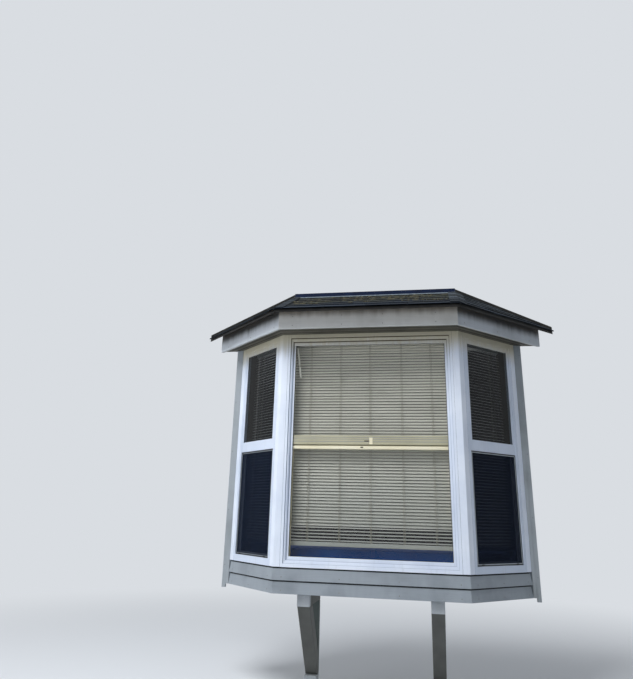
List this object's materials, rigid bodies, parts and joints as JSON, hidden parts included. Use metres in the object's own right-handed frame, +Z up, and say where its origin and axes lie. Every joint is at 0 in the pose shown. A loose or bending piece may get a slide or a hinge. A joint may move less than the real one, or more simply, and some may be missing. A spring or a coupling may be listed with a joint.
{
  "type": "bay window",
  "caption": "Three-sided bay window hung on a wall: hipped shingle roof, lap skirt, two timber brackets, blinds and a cushioned window seat.",
  "frame": {"origin": "middle of the platform ledger's back face, on the wall plane and on the bay's centre line", "axes": "+Z up, +Y into the wall and the room behind it, so the front of the bay faces -Y; +X to the right seen from outside"},
  "size_m": [2.8734, 0.884, 2.9783],
  "materials": {
    "interior_board": "painted board",
    "blind_slats": "painted, semi-gloss",
    "insect_screen": "woven glass-fibre mesh in a dark frame",
    "window_glass": "clear float glass",
    "cushion_cloth": "navy woven cloth",
    "roof_shingles": "mineral-faced asphalt shingle with moss",
    "roof_flashing": "dark painted sheet",
    "framing_lumber": "sawn softwood and plywood",
    "lock_metal": "white painted casting",
    "soffit_paint": "dark painted board",
    "fascia_paint": "weathered grey paint",
    "siding_paint": "grey paint",
    "bottom_panel": "dark painted panel",
    "bracket_paint": "grey paint on heavy timber",
    "window_vinyl": "white vinyl, satin"
  },
  "bodies": {
    "root": {"drip_edge": "roof_flashing", "fascia": "fascia_paint", "front_blind": "blind_slats", "front_frame": "window_vinyl", "front_lower_sash": "window_vinyl", "front_sash_glass": "window_glass", "front_shingles": "roof_shingles", "front_storm_pane": "window_glass", "front_upper_sash": "window_vinyl", "head_board": "interior_board", "hip_caps": "roof_shingles", "left_blind": "blind_slats", "left_bracket_arm": "bracket_paint", "left_bracket_leg": "bracket_paint", "left_bracket_strut": "bracket_paint", "left_corner_post": "window_vinyl", "left_end_jamb": "window_vinyl", "left_frame": "window_vinyl", "left_glass": "window_glass", "left_lower_sash": "window_vinyl", "left_screen": "insect_screen", "left_shingles": "roof_shingles", "left_upper_sash": "window_vinyl", "platform_bottom": "bottom_panel", "platform_frame": "framing_lumber", "right_blind": "blind_slats", "right_bracket_arm": "bracket_paint", "right_bracket_leg": "bracket_paint", "right_bracket_strut": "bracket_paint", "right_corner_post": "window_vinyl", "right_end_jamb": "window_vinyl", "right_frame": "window_vinyl", "right_glass": "window_glass", "right_lower_sash": "window_vinyl", "right_screen": "insect_screen", "right_shingles": "roof_shingles", "right_upper_sash": "window_vinyl", "roof_deck": "framing_lumber", "roof_frame": "framing_lumber", "sash_locks": "lock_metal", "seat_board": "interior_board", "seat_cushion": "cushion_cloth", "skirt": "siding_paint", "soffit": "soffit_paint", "wall_flashing": "roof_flashing", "wall_trim": "siding_paint"}
  },
  "joints": []
}
